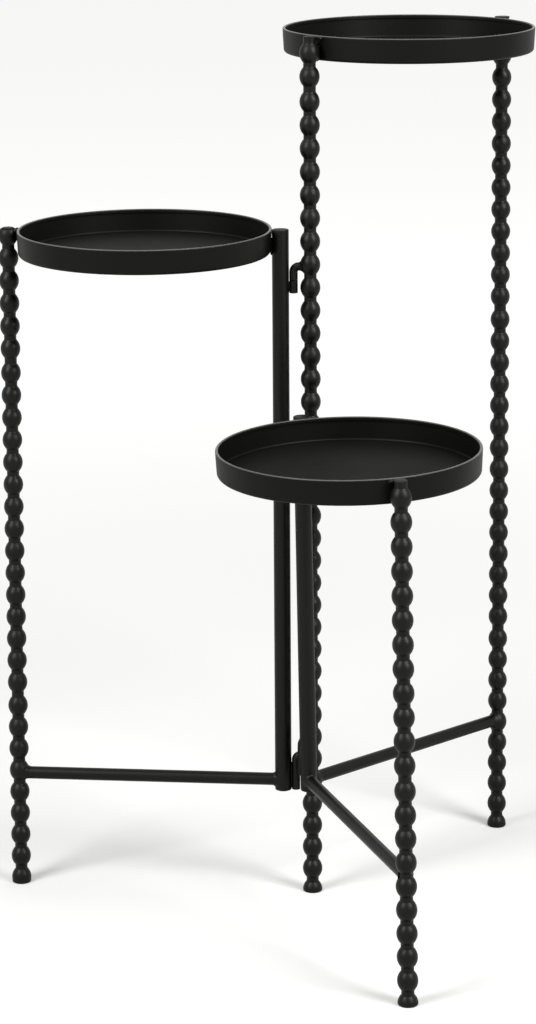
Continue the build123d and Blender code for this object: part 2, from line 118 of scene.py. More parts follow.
class StandSizes(bpy.types.PropertyGroup):
    """Sizes of the stand's tubes, trays and hinges."""

    leg_crest: length("Leg crest diameter", "Widest diameter of a beaded leg", 19.0 * MM)
    leg_neck: length("Leg neck diameter", "Diameter of a leg between two beads", 11.8 * MM)
    bead_pitch: length("Bead pitch", "Distance from one bead to the next", 22.0 * MM)
    neck_fillet: length("Neck fillet", "Radius where a bead runs into its neck", 2.0 * MM)
    leg_wall: length("Leg wall", "Wall thickness of the beaded tube", 1.0 * MM)
    post: length("Post diameter", "Diameter of the plain posts on the hinge side", 16.0 * MM)
    post_wall: length("Post wall", "Wall thickness of a post", 1.2 * MM)
    stretcher: length("Stretcher diameter", "Diameter of the bars near the floor", 12.0 * MM)
    tray: length("Tray diameter", "Diameter over a tray's rim", 241.0 * MM)
    tray_depth: length("Tray depth", "Height of a tray from its underside to its rim", 23.5 * MM)
    tray_sheet: length("Tray sheet", "Thickness of the pressed sheet", 1.0 * MM)
    tray_corner: length("Tray corner", "Outer radius between a tray's floor and wall", 3.0 * MM)
    rim_width: length("Rim width", "Width of the rim that is folded inwards", 2.8 * MM)
    lip: length("Lip height", "Height of the folded rim's inner edge", 3.6 * MM)
    arm: length("Hinge arm diameter", "Diameter of the bent hinge arms", 8.0 * MM)
    arm_bend: length("Hinge arm bend", "Bend radius of a hinge arm's middle line", 5.0 * MM)
    pin: length("Hinge pin diameter", "Diameter of the pin inside a barrel", 5.0 * MM)
    barrel: length("Hinge barrel diameter", "Outer diameter of a hinge barrel", 8.0 * MM)
    weld: length("Weld radius", "Radius of a run of weld", 2.6 * MM)
    cap: length("Cap thickness", "Thickness of a cap's flange", 1.5 * MM)
    foot: length("Glide thickness", "Thickness of a foot glide's flange", 2.5 * MM)


class StandColours(bpy.types.PropertyGroup):
    """Colours of the stand's finishes, as sRGB."""

    coat: FloatVectorProperty(
        name="Powder coat",
        description="Colour of the powder-coated steel",
        default=(0.024, 0.024, 0.021),
        min=0.0,
        max=1.0,
        subtype="COLOR_GAMMA",
    )
    plastic: FloatVectorProperty(
        name="Caps and glides",
        description="Colour of the moulded caps and foot glides",
        default=(0.060, 0.060, 0.057),
        min=0.0,
        max=1.0,
        subtype="COLOR_GAMMA",
    )


class StudioSettings(bpy.types.PropertyGroup):
    """Strength of the soft studio lights."""

    left_light: power("Left light", "Power of the left light", 75.0)
    right_light: power("Right light", "Power of the right light", 85.0)
    top_light: power("Top light", "Power of the overhead light", 10.0)


# Places of the frames


def axes_of(origin, x_dir, z_dir):
    """Origin and the three unit directions of a local frame, y completing x and z."""
    x_dir, z_dir = np.array(x_dir, float), np.array(z_dir, float)
    return np.array(origin, float), np.stack([x_dir, np.cross(z_dir, x_dir), z_dir])


def heading(angle):
    """Level unit vector at an angle from X."""
    return np.array([math.cos(angle), math.sin(angle), 0.0])


def hinge_heights(side):
    """Heights of a swinging frame's upper and lower hinge arms."""
    rim = RIM_HEIGHTS["middle" if side == "left" else "low"]
    return {
        "upper": rim + LEG_RISE - HINGE_BELOW_POST_TOP,
        "lower": STRETCHER_HEIGHTS[side] + LOWER_HINGE_ABOVE_STRETCHER[side],
    }


def stand_frame(side, sizes):
    """Local axes of the centre, left or front frame: x from hinge side to outer leg, z up its tubes.

    A swinging frame's origin lies on its post's axis. It leans sideways about its hinges' middle height.
    """
    if side == "centre":
        return axes_of((0, 0, 0), heading(CENTRE_ANGLE), (0, 0, 1))
    outward = heading(FRAME_ANGLES[side])
    sideways = np.array([outward[1], -outward[0], 0.0])
    lean = LEANS[side]
    pivot = sum(hinge_heights(side).values()) / 2
    pin_to_post = sizes.post / 2 + WELD_GAP + sizes.barrel / 2
    up = np.array([0, 0, math.cos(lean)]) + sideways * math.sin(lean)
    lift = np.array([0, 0, sizes.leg_crest / 2 * math.sin(lean)])
    origin = heading(HOOK_ANGLES[side]) * PIN_REACH + outward * pin_to_post
    return axes_of(origin - sideways * math.tan(lean) * pivot + lift, outward, up)


def leg_to_tray(sizes):
    return sizes.leg_crest / 2 + WELD_GAP + sizes.tray / 2


def post_to_tray(sizes):
    return sizes.post / 2 + WELD_GAP + sizes.tray / 2


def legs_of(sizes):
    """Each beaded leg's frame side, distance along the frame and top height."""
    span = post_to_tray(sizes) + leg_to_tray(sizes)
    return {
        "centre": ("centre", 0.0, RIM_HEIGHTS["top"] + LEG_RISE),
        "rear": ("centre", 2 * leg_to_tray(sizes), RIM_HEIGHTS["top"] + LEG_RISE),
        "left": ("left", span, RIM_HEIGHTS["middle"] + LEG_RISE),
        "front": ("front", span, RIM_HEIGHTS["low"] + LEG_RISE),
    }


def trays_of(sizes):
    """Each tray's frame side and distance along the frame."""
    return {
        "top": ("centre", leg_to_tray(sizes)),
        "middle": ("left", post_to_tray(sizes)),
        "low": ("front", post_to_tray(sizes)),
    }


# Surfaces


def to_world(axes, local):
    """Local points as points of the shared frame: origin plus each coordinate times its direction."""
    origin, directions = axes
    return origin + local @ directions


def shell(points, loop):
    """Faces over a grid of points whose columns run round an axis.

    Each face joins four neighbours. The columns always close; the rows close too where loop is true, and
    otherwise a first or last row that has shrunk to one point becomes a pole with triangles.
    """
    rows, columns = points.shape[:2]
    poles = [not loop and np.ptp(points[row], axis=0).max() < 1e-9 for row in (0, -1)]
    counts = np.full(rows, columns)
    counts[0] = 1 if poles[0] else columns
    counts[-1] = 1 if poles[1] else columns
    starts = np.concatenate([[0], np.cumsum(counts)[:-1]])
    ids = starts[:, None] + np.where(counts[:, None] == 1, 0, np.arange(columns)[None, :])
    kept = np.arange(columns)[None, :] < counts[:, None]
    lower = ids if loop else ids[:-1]
    upper = np.roll(ids, -1, axis=0) if loop else ids[1:]
    quads = np.stack([lower, np.roll(lower, -1, axis=1), np.roll(upper, -1, axis=1), upper], axis=-1)
    faces = quads[int(poles[0]) : len(quads) - int(poles[1])].reshape(-1, 4).tolist()
    if poles[0]:
        faces += quads[0][:, [0, 2, 3]].tolist()
    if poles[1]:
        faces += quads[-1][:, [0, 1, 2]].tolist()
    return points[kept], faces


def add_piece(name, shells, nodes, body, material, polish=None):
    """One mesh object from one or more shells, riding on a body and standing for its CAD nodes.

    Where given, the per-vertex values say how much glossier or duller than the rest the coat is. Above nought
    they also paint the coat paler there, as a painted highlight.
    """
    vertices, faces, count = [], [], 0
    for points, polygons in shells:
        vertices.append(points)
        faces += [[index + count for index in polygon] for polygon in polygons]
        count += len(points)
    mesh = bpy.data.meshes.new(name)
    mesh.from_pydata(np.concatenate(vertices).tolist(), [], faces)
    mesh.polygons.foreach_set("use_smooth", np.ones(len(mesh.polygons), dtype=bool))
    mesh.set_sharp_from_angle(angle=math.radians(38.0))
    mesh.materials.append(material)
    if polish is not None:
        mesh.attributes.new("polish", "FLOAT", "POINT").data.foreach_set("value", polish)
    mesh.update()
    piece = bpy.data.objects.new(name, mesh)
    bpy.context.scene.collection.objects.link(piece)
    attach(piece, body)
    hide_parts(*nodes)
    return piece


def arc(centre, radius, start, end, steps):
    """Points on an arc: centre plus radius times cosine and sine of angles in degrees."""
    angles = np.radians(np.linspace(start, end, steps + 1))
    return np.stack([centre[0] + radius * np.cos(angles), centre[1] + radius * np.sin(angles)], axis=1)


def rounded(corners, radii, steps=5):
    """Outline through corners, each turned into an arc of its radius that touches both sides.

    The arc's centre lies on the corner's bisector at radius over the sine of half the angle. Two more points
    beyond each arc keep the flats flat in the smooth shading.
    """
    corners = np.array(corners, float)
    outline = []
    for index, (corner, radius) in enumerate(zip(corners, radii)):
        if radius == 0 or index in (0, len(corners) - 1):
            outline.append(corner[None, :])
            continue
        back, ahead = corners[index - 1] - corner, corners[index + 1] - corner
        back, ahead = back / np.linalg.norm(back), ahead / np.linalg.norm(ahead)
        half = math.acos(np.clip(back @ ahead, -1, 1)) / 2
        reach = radius / math.tan(half)
        bisector = (back + ahead) / np.linalg.norm(back + ahead)
        centre = corner + bisector * radius / math.sin(half)
        start, end = corner + back * reach - centre, corner + ahead * reach - centre
        turn = math.pi - 2 * half
        share = np.linspace(0, 1, steps + 1)[:, None]
        points = (np.sin((1 - share) * turn) * start + np.sin(share * turn) * end) / math.sin(turn)
        support = radius * 0.25
        outline += [
            (corner + back * (reach + support))[None, :],
            centre + points,
            (corner + ahead * (reach + support))[None, :],
        ]
    return np.concatenate(outline)


def lathe(axes, x, profile, segments, loop):
    """Surface of revolution: each profile point (radius, height) is carried round the axis at distance x."""
    angles = np.linspace(0, 2 * math.pi, segments, endpoint=False)
    radius, height = profile[:, :1], profile[:, 1:]
    local = np.stack(
        [x + radius * np.cos(angles), radius * np.sin(angles), height + 0 * angles], axis=-1
    )
    return shell(to_world(axes, local), loop)


# Beaded tube


def bead_middles(leg, top, sizes):
    """Heights of a leg's beads, one pitch apart, with the step that each rolling pass left."""
    neck = top - FIRST_NECKS[leg]
    heights = [neck + 1.5 * sizes.bead_pitch, neck + 0.5 * sizes.bead_pitch]
    while heights[-1] > -sizes.bead_pitch:
        past = len(heights) - 2 - FIRST_BEADS[leg]
        marked = past >= 0 and past % BEADS_PER_PASS == 0
        heights.append(heights[-1] - sizes.bead_pitch - (PASS_STEP if marked else 0))
    return np.array(heights[::-1])


def bead_joins(sizes):
    """Distances from a bead's middle to where its arc ends and to where the straight neck begins.

    The bead's arc and the neck's fillet touch, so their centres are the sum of their radii apart.
    """
    centre = sizes.leg_crest / 2 - BEAD_ARC_RADIUS
    rise = sizes.leg_neck / 2 + sizes.neck_fillet - centre
    neck = math.sqrt((BEAD_ARC_RADIUS + sizes.neck_fillet) ** 2 - rise**2)
    return neck * BEAD_ARC_RADIUS / (BEAD_ARC_RADIUS + sizes.neck_fillet), neck


def beaded_radius(height, beads, sizes):
    """Radius of the beaded tube: a wide arc on each bead, a small fillet at its end, then a short neck."""
    offset = np.abs(np.asarray(height)[..., None] - beads).min(axis=-1)
    join, neck = bead_joins(sizes)
    offset, fillet = np.minimum(offset, neck), sizes.neck_fillet
    bead = sizes.leg_crest / 2 - BEAD_ARC_RADIUS + np.sqrt(BEAD_ARC_RADIUS**2 - np.minimum(offset, join) ** 2)
    hollow = sizes.leg_neck / 2 + fillet - np.sqrt(fillet**2 - np.clip(neck - offset, 0, neck - join) ** 2)
    return np.where(offset <= join, bead, hollow)


def ends_straight(beads, top, sizes):
    """Whether a leg was cut so close above a neck that it ends in that neck."""
    return top - beads[beads < top].max() - sizes.bead_pitch / 2 < CUT_ABOVE_NECK


def leg_outline(beads, low, high, straight, sizes):
    """Closed outline of a beaded tube: up the outside, in dense rows at the necks, and down the bore.

    A leg with a straight end has no bead above its last neck.
    """
    join, neck = bead_joins(sizes)
    beads = beads[beads < high] if straight else beads
    rows = np.concatenate([np.linspace(0, join, 8), np.linspace(join, neck, 5)[1:]])
    rows = np.concatenate([-rows[:0:-1], rows])
    heights = np.sort((beads[:, None] + rows).ravel())
    heights = heights[(heights > low + EDGE) & (heights < high - EDGE)]
    outside = np.concatenate([[low + EDGE], heights, [high - EDGE]])
    inside = np.arange(high, low, -sizes.bead_pitch / 6)
    outer = np.stack([beaded_radius(outside, beads, sizes), outside], axis=1)
    inner = np.stack([beaded_radius(inside, beads, sizes) - sizes.leg_wall, inside], axis=1)
    start = [[beaded_radius(low, beads, sizes) - EDGE, low]]
    end = [[beaded_radius(high, beads, sizes) - EDGE, high]]
    last = [[beaded_radius(low, beads, sizes) - sizes.leg_wall, low]]
    return np.concatenate([start, outer, end, inner, last])


def end_plug_outline(end, inward, flange, stem, thickness, edge):
    """Pole-to-pole outline of a plug: a rounded flange flush with the tube and a stem inside it."""
    seat, depth = end + inward * thickness, end + inward * (thickness + STEM_LENGTH)
    crown = 0.25 * MM
    corners = [(0, end), (flange * 0.6, end + inward * crown * 0.4), (flange, end + inward * crown)]
    corners += [(flange, seat), (stem, seat), (stem, depth), (0, depth)]
    outline = rounded(corners, [0, 0, edge, 0.25 * MM, 0, 0.4 * MM, 0])
    return outline if inward > 0 else outline[::-1]


# Materials


def linear(colour):
    """sRGB values, or a hex string, as linear light."""
    if isinstance(colour, str):
        colour = [int(colour[at : at + 2], 16) / 255 for at in (1, 3, 5)]
    values = np.array(colour[:3])
    return (*np.where(values <= 0.04045, values / 12.92, ((values + 0.055) / 1.055) ** 2.4).tolist(), 1.0)


def add_node(tree, kind, links=(), values=(), **settings):
    """Adds a node with its settings, its socket values and the links that come into it."""
    node = tree.nodes.new(kind)
    for name, value in settings.items():
        setattr(node, name, value)
    for socket, value in dict(values).items():
        node.inputs[socket].default_value = value
    for socket, source in dict(links).items():
        tree.links.new(source, node.inputs[socket])
    return node


def new_material(name):
    """Empty node material with its output."""
    material = bpy.data.materials.get(name) or bpy.data.materials.new(name)
    material.use_nodes = True
    material.node_tree.nodes.clear()
    return material, material.node_tree, add_node(material.node_tree, "ShaderNodeOutputMaterial")


def powder_coat(name, glossiest, dullest, level):
    """Semi-matte polyester powder coat on steel, sprayed and baked, between two roughnesses."""
    # The cured powder flows into a faint orange peel of about 1.8 mm, which softens the lights' edges and
    # breaks them up a little. The film's gloss wanders in patches some 45 mm wide. A few grains of dust,
    # about one in 30 mm, stand in the film and catch the light; they are drawn 0.5 mm wide so that they show.
    material, tree, output = new_material(name)
    coat = bpy.context.scene.stand_colours.coat
    place = add_node(tree, "ShaderNodeTexCoord").outputs["Object"]
    peel = add_node(
        tree,
        "ShaderNodeTexNoise",
        {"Vector": place},
        {"Scale": 1 / (1.8 * MM), "Detail": 2.0, "Roughness": 0.45},
    )
    patches = add_node(
        tree,
        "ShaderNodeTexNoise",
        {"Vector": place},
        {"Scale": 1 / (45 * MM), "Detail": 3.0, "Roughness": 0.5},
    )
    grains = add_node(tree, "ShaderNodeTexVoronoi", {"Vector": place}, {"Scale": 1 / (30 * MM)})
    speck = add_node(
        tree,
        "ShaderNodeMapRange",
        {"Value": grains.outputs["Distance"]},
        {"From Min": 0.25 / 30, "From Max": 0.10 / 30, "To Min": 0.0, "To Max": 1.0},
    )
    shine = add_node(
        tree,
        "ShaderNodeMapRange",
        {"Value": patches.outputs["Fac"]},
        {"From Min": 0.3, "From Max": 0.7, "To Min": glossiest, "To Max": dullest},
    )
    tint = add_node(
        tree,
        "ShaderNodeMix",
        {"Factor": patches.outputs["Fac"]},
        data_type="RGBA",
    )
    tint.inputs[6].default_value = linear([value * 0.94 for value in coat])
    tint.inputs[7].default_value = linear([coat[0] * 1.06, coat[1] * 1.05, coat[2] * 1.02])
    dusted = add_node(tree, "ShaderNodeMix", {"Factor": speck.outputs["Result"]}, data_type="RGBA")
    tree.links.new(tint.outputs[2], dusted.inputs[6])
    dusted.inputs[7].default_value = linear("#4a4a47")
    height = add_node(
        tree,
        "ShaderNodeMath",
        {0: speck.outputs["Result"], 2: peel.outputs["Fac"]},
        {1: 1.5},
        operation="MULTIPLY_ADD",
    )
    bump = add_node(
        tree, "ShaderNodeBump", {"Height": height.outputs["Value"]}, {"Strength": 0.35, "Distance": 0.03 * MM}
    )
    # The trays' attribute is one on the folded rim and minus one on the floor; elsewhere it is nought. The
    # rim is glossier and the floor duller. The rim's paler colour stands in for the line of reflected light
    # that the photograph shows there.
    polish = add_node(tree, "ShaderNodeAttribute", attribute_name="polish").outputs["Fac"]
    rim_highlighted = add_node(tree, "ShaderNodeMix", {"Factor": polish, 6: dusted.outputs[2]}, data_type="RGBA")
    rim_highlighted.inputs[7].default_value = linear("#4a4a48")
    finish = add_node(
        tree,
        "ShaderNodeMath",
        {0: polish, 2: shine.outputs["Result"]},
        {1: -0.20},
        operation="MULTIPLY_ADD",
    )
    shader = add_node(
        tree,
        "ShaderNodeBsdfPrincipled",
        {
            "Base Color": rim_highlighted.outputs[2],
            "Roughness": finish.outputs["Value"],
            "Normal": bump.outputs["Normal"],
        },
        {"Metallic": 0.0, "IOR": 1.5, "Specular IOR Level": level},
    )
    tree.links.new(shader.outputs["BSDF"], output.inputs["Surface"])
    return material


def moulded_plastic():
    """Low-density polyethylene, injection moulded with a fine matt grain."""
    # Soft plastic from a spark-eroded mould: an even grain of about 0.6 mm spreads the light, so that the
    # caps look a little duller than the coat beside them.
    material, tree, output = new_material("moulded_polyethylene")
    colour = bpy.context.scene.stand_colours.plastic
    place = add_node(tree, "ShaderNodeTexCoord").outputs["Object"]
    grain = add_node(
        tree,
        "ShaderNodeTexNoise",
        {"Vector": place},
        {"Scale": 1 / (0.6 * MM), "Detail": 2.0, "Roughness": 0.6},
    )
    wear = add_node(tree, "ShaderNodeTexNoise", {"Vector": place}, {"Scale": 1 / (8 * MM), "Detail": 2.0})
    tint = add_node(tree, "ShaderNodeMix", {"Factor": wear.outputs["Fac"]}, data_type="RGBA")
    tint.inputs[6].default_value = linear([value * 0.92 for value in colour])
    tint.inputs[7].default_value = linear([value * 1.12 for value in colour])
    shine = add_node(
        tree,
        "ShaderNodeMapRange",
        {"Value": wear.outputs["Fac"]},
        {"From Min": 0.3, "From Max": 0.7, "To Min": 0.48, "To Max": 0.58},
    )
    bump = add_node(
        tree, "ShaderNodeBump", {"Height": grain.outputs["Fac"]}, {"Strength": 0.3, "Distance": 0.02 * MM}
    )
    shader = add_node(
        tree,
        "ShaderNodeBsdfPrincipled",
        {
            "Base Color": tint.outputs[2],
            "Roughness": shine.outputs["Result"],
            "Normal": bump.outputs["Normal"],
        },
        {"Metallic": 0.0, "IOR": 1.5, "Specular IOR Level": 0.12},
    )
    tree.links.new(shader.outputs["BSDF"], output.inputs["Surface"])
    return material


def coat_material():
    name = "semi_matte_powder_coat"
    return bpy.data.materials.get(name) or powder_coat(name, 0.37, 0.45, 0.15)


def tray_material():
    """The same coat on the trays, a little duller than on the tubes."""
    name = "matt_powder_coat"
    return bpy.data.materials.get(name) or powder_coat(name, 0.44, 0.52, 0.09)


def plastic_material():
    return bpy.data.materials.get("moulded_polyethylene") or moulded_plastic()


def add_steel(node, suffix, shells, side):
    """A powder-coated piece that rides on one of the three frames and stands for one CAD node."""
    name, body = f"{node}_{suffix}", f"{side}_frame"
    return add_piece(name, shells, [node], body, coat_material())


# Operators that make the pieces


class STAND_OT_beaded_legs(bpy.types.Operator):
    """Four beaded legs, each a tube turned from an outline of wide bead arcs and short filleted necks."""

    bl_idname = "stand.beaded_legs"
    bl_label = "Beaded legs"

    def execute(self, context):
        sizes = context.scene.stand_sizes
        for leg, (side, x, top) in legs_of(sizes).items():
            beads = bead_middles(leg, top, sizes)
            straight = ends_straight(beads, top, sizes)
            outline = leg_outline(beads, sizes.foot, top - sizes.cap, straight, sizes)
            surface = lathe(stand_frame(side, sizes), x, outline, 48, True)
            add_steel(f"{leg}_leg", "tube", [surface], side)
        return {"FINISHED"}


class STAND_OT_leg_ends(bpy.types.Operator):
    """Caps and foot glides of the four legs: turned plugs with a rounded flange."""

    bl_idname = "stand.leg_ends"
    bl_label = "Leg caps and foot glides"

    def execute(self, context):
        sizes = context.scene.stand_sizes
        stem = sizes.leg_neck / 2 - sizes.leg_wall - STEM_GAP
        for leg, (side, x, top) in legs_of(sizes).items():
            beads = bead_middles(leg, top, sizes)
            axes = stand_frame(side, sizes)
            for node, end, inward, thickness, edge, slot in (
                (f"{leg}_leg_cap", top, -1, sizes.cap, CAP_EDGE, "black_cap"),
                (f"{leg}_leg_foot", 0.0, 1, sizes.foot, GLIDE_EDGE, "black_glide"),
            ):
                flange = float(beaded_radius(end + inward * thickness, beads, sizes))
                if inward < 0 and ends_straight(beads, top, sizes):
                    flange = sizes.leg_neck / 2
                outline = end_plug_outline(end, inward, flange, stem, thickness, edge)
                surface = lathe(axes, x, outline, 48, False)
                body = f"{side}_frame"
                add_piece(f"{node}_plug", [surface], [node], body, plastic_material())
        return {"FINISHED"}


class STAND_OT_posts(bpy.types.Operator):
    """Two plain round posts with their caps."""

    bl_idname = "stand.posts"
    bl_label = "Posts"

    def execute(self, context):
        sizes = context.scene.stand_sizes
        radius, bore = sizes.post / 2, sizes.post / 2 - sizes.post_wall
        stem = bore - STEM_GAP
        for side, tier in (("left", "middle"), ("front", "low")):
            axes = stand_frame(side, sizes)
            top, low = RIM_HEIGHTS[tier] + LEG_RISE, STRETCHER_HEIGHTS[side] - POST_BELOW_STRETCHER
            first, last = low + sizes.cap, top - sizes.cap
            corners = [(bore, first), (radius, first), (radius, last), (bore, last), (bore, first)]
            outline = rounded(corners, [0, EDGE, EDGE, 0, 0])[:-1]
            surface = lathe(axes, 0.0, outline, 64, True)
            add_steel(f"{side}_post", "tube", [surface], side)
            for end_name, end, inward in (("top", top, -1), ("bottom", low, 1)):
                node = f"{side}_post_{end_name}_cap"
                outline = end_plug_outline(end, inward, radius, stem, sizes.cap, CAP_EDGE)
                surface = lathe(axes, 0.0, outline, 64, False)
                body = f"{side}_frame"
                add_piece(f"{node}_plug", [surface], [node], body, plastic_material())
        return {"FINISHED"}


def guarded(outline, reach):
    """The same outline with a point more near both ends of every long straight line.

    The points keep an attribute that changes at a bend from fading out along the flats.
    """
    points = [outline[0]]
    for start, end in zip(outline[:-1], outline[1:]):
        length_along = float(np.linalg.norm(end - start))
        if length_along > 3 * reach:
            step = (end - start) * reach / length_along
            points += [start + step, end - step]
        points.append(end)
    return np.array(points)


def tray_outline(rim, sizes):
    """Pole-to-pole outline of a tray: up the outside of its wall, over the rim and in along its floor.

    The wall leans out by its draft. The rim is a half circle, turned inwards and down to a short lip.
    """
    draft = TRAY_DRAFT
    sheet, corner = sizes.tray_sheet, sizes.tray_corner
    outer, low = sizes.tray / 2, rim - sizes.tray_depth
    fold, lip_low = rim - sizes.rim_width / 2, rim - sizes.lip
    wall_low = outer - (fold - low - corner * (1 - math.sin(draft))) * math.tan(draft)
    hub = (wall_low - corner * math.cos(draft), low + corner)
    lip_in, lip_out = outer - sizes.rim_width, outer - sizes.rim_width + sheet
    gap = sizes.rim_width - 2 * sheet
    edge = 0.2 * MM
    outer_middle = outer - (fold - low - corner) * 0.5 * math.tan(draft)
    inner_middle = outer - sheet - (fold - low - corner) * 0.5 * math.tan(draft)
    middle_height = (fold + low + corner) / 2
    floor_rows = np.linspace(0, hub[0] - 1.5 * MM, 12)
    return np.concatenate(
        [
            np.stack([floor_rows, np.full(12, low)], axis=1),
            arc(hub, corner, -90, -math.degrees(draft), 8),
            [(outer_middle, middle_height)],
            arc((outer - sizes.rim_width / 2, fold), sizes.rim_width / 2, 0, 180, 14),
            [(lip_in, lip_low + edge), (lip_in + edge, lip_low)],
            [(lip_out - edge, lip_low), (lip_out, lip_low + edge)],
            arc((lip_out + gap / 2, fold), gap / 2, 180, 0, 6),
            [(inner_middle, middle_height)],
            arc(hub, corner - sheet, -math.degrees(draft), -90, 8),
            np.stack([floor_rows[::-1], np.full(12, low + sheet)], axis=1),
        ]
    )


class STAND_OT_trays(bpy.types.Operator):
    """Three pressed round trays, each turned from one outline of sheet."""

    bl_idname = "stand.trays"
    bl_label = "Trays"

    def execute(self, context):
        sizes = context.scene.stand_sizes
        for tier, (side, x) in trays_of(sizes).items():
            outline = tray_outline(RIM_HEIGHTS[tier], sizes)
            outline = guarded(outline, 0.7 * MM)
            surface = lathe(stand_frame(side, sizes), x, outline, TRAY_SEGMENTS, False)
            above_rim = outline[:, 1] - RIM_HEIGHTS[tier]
            # One on the rim: a glossier coat plus a painted highlight, a paler colour standing in for
            # reflected light. Minus one on the floor: a duller coat.
            on_rim = above_rim > -RIM_GLOSS_AND_HIGHLIGHT_BAND
            on_floor = (above_rim < -0.85 * sizes.tray_depth) & (outline[:, 0] < 0.95 * sizes.tray / 2)
            rows = 1.0 * on_rim - 1.0 * on_floor
            polish = np.concatenate([rows[:1], np.repeat(rows[1:-1], TRAY_SEGMENTS), rows[-1:]])
            add_piece(
                f"{tier}_tray_pressing",
                [surface],
                [f"{tier}_tray"],
                f"{side}_frame",
                tray_material(),
                polish,
            )
        return {"FINISHED"}


# Bars, hinges and welds


def tube_face(across, height, radius_at):
    """Distance along a bar from a tube's axis to its surface: root of radius squared less across squared."""
    return np.sqrt(np.maximum(radius_at(height) ** 2 - across**2, (2.0 * MM) ** 2))


def tubes_at_bar(side, sizes):
    """Radius functions of the two tubes that a frame's stretcher joins, and the distance between them."""
    legs = legs_of(sizes)
    outer_leg = "rear" if side == "centre" else side
    outer_beads = bead_middles(outer_leg, legs[outer_leg][2], sizes)
    centre_beads = bead_middles("centre", legs["centre"][2], sizes)

    def outer(height):
        return beaded_radius(height, outer_beads, sizes)

    def inner(height):
        if side == "centre":
            return beaded_radius(height, centre_beads, sizes)
        return np.full(np.shape(height), sizes.post / 2)

    return inner, outer, legs[outer_leg][1]


class STAND_OT_stretchers(bpy.types.Operator):
    """Three round bars, each cut at its ends to the surface of the tubes that it joins."""

    bl_idname = "stand.stretchers"
    bl_label = "Stretchers"

    def execute(self, context):
        sizes = context.scene.stand_sizes
        angles = np.linspace(0, 2 * math.pi, 64, endpoint=False)
        share = np.linspace(0, 1, 13)
        outer_radius = sizes.stretcher / 2
        radii = np.concatenate([np.full(13, outer_radius), np.full(13, outer_radius - STRETCHER_WALL)])
        share = np.concatenate([share, share[::-1]])
        across, rise = radii[:, None] * np.cos(angles), radii[:, None] * np.sin(angles)
        for side, height in STRETCHER_HEIGHTS.items():
            inner, outer, span = tubes_at_bar(side, sizes)
            start = tube_face(across, height + rise, inner)
            end = span - tube_face(across, height + rise, outer)
            along = start + (end - start) * share[:, None]
            local = np.stack([along, across, height + rise], axis=-1)
            surface = shell(to_world(stand_frame(side, sizes), local), True)
            add_steel(f"{side}_stretcher", "bar", [surface], side)
        return {"FINISHED"}


def swept_rod(axes, middle, normals, radii, segments):
    """Round rod along a level-then-falling line: each middle point plus its radius times a turning normal.

    The normal turns between the line's own normal in the upright plane and the plane's sideways direction.
    """
    angles = np.linspace(0, 2 * math.pi, segments, endpoint=False)
    ring = radii[:, None, None]
    in_plane = np.stack([normals[:, 0], 0 * normals[:, 0], normals[:, 1]], axis=1)[:, None, :]
    sideways = np.array([0.0, 1.0, 0.0])
    turned = np.cos(angles)[None, :, None] * sideways + np.sin(angles)[None, :, None] * in_plane
    line = np.stack([middle[:, 0], 0 * middle[:, 0], middle[:, 1]], axis=1)[:, None, :]
    return shell(to_world(axes, line + ring * turned), False)


def arm_rows(drop, barrel_length, sizes):
    """Middle line, normals and radii of a hinge arm: out of the leg, round a bend and down to its pin."""
    bend, thick, thin = sizes.arm_bend, sizes.arm / 2, sizes.pin / 2
    pin_end = -drop - BARREL_GAP - barrel_length + 0.05 * MM
    level = np.array([4.0 * MM, 4.0 * MM, PIN_REACH - bend - 1.0 * MM])
    turn = np.radians(np.linspace(90, 0, 9))
    falls = np.array([-bend - 0.5 * MM, -drop + EDGE, -drop, -drop, pin_end + 1.05 * MM, pin_end, pin_end])
    middle = np.concatenate(
        [
            np.stack([level, 0 * level], axis=1),
            np.stack([PIN_REACH - bend + bend * np.cos(turn), -bend + bend * np.sin(turn)], axis=1),
            np.stack([np.full(7, PIN_REACH), falls], axis=1),
        ]
    )
    normals = np.concatenate(
        [
            np.tile([0.0, 1.0], (3, 1)),
            np.stack([np.cos(turn), np.sin(turn)], axis=1),
            np.tile([1.0, 0.0], (7, 1)),
        ]
    )
    radii = np.array([0.0] + [thick] * 13 + [thick - EDGE, thin, thin, thin + RIVET_FLARE, 0.0])
    return middle, normals, radii


class STAND_OT_hinge_arms(bpy.types.Operator):
    """Four bent hinge arms: a rod swept out of the centre leg and down to its pin."""

    bl_idname = "stand.hinge_arms"
    bl_label = "Hinge arms"

    def execute(self, context):
        sizes = context.scene.stand_sizes
        for side in ("left", "front"):
            for level, height in hinge_heights(side).items():
                axes = axes_of((0, 0, height), heading(HOOK_ANGLES[side]), (0, 0, 1))
                rows = arm_rows(ARM_DROPS[level], BARREL_LENGTHS[level], sizes)
                surface = swept_rod(axes, *rows, 40)
                add_steel(f"{side}_{level}_hinge_arm", "rod", [surface], "centre")
        return {"FINISHED"}


class STAND_OT_hinge_barrels(bpy.types.Operator):
    """Four hinge barrels: short tubes round the pins, countersunk below for the riveted end."""

    bl_idname = "stand.hinge_barrels"
    bl_label = "Hinge barrels"

    def execute(self, context):
        sizes = context.scene.stand_sizes
        radius, bore = sizes.barrel / 2, sizes.pin / 2 + PIN_GAP
        for side in ("left", "front"):
            for level, height in hinge_heights(side).items():
                high = height - ARM_DROPS[level] - BARREL_GAP
                low = high - BARREL_LENGTHS[level]
                mouth = (bore + COUNTERSINK, low)
                corners = [mouth, (radius, low), (radius, high), (bore, high), (bore, low + COUNTERSINK)]
                outline = rounded(corners + [mouth], [0, EDGE, EDGE, 0, 0, 0])[:-1]
                axes = axes_of(heading(HOOK_ANGLES[side]) * PIN_REACH, (1, 0, 0), (0, 0, 1))
                surface = lathe(axes, 0.0, outline, 40, True)
                add_steel(f"{side}_{level}_barrel", "sleeve", [surface], side)
        return {"FINISHED"}


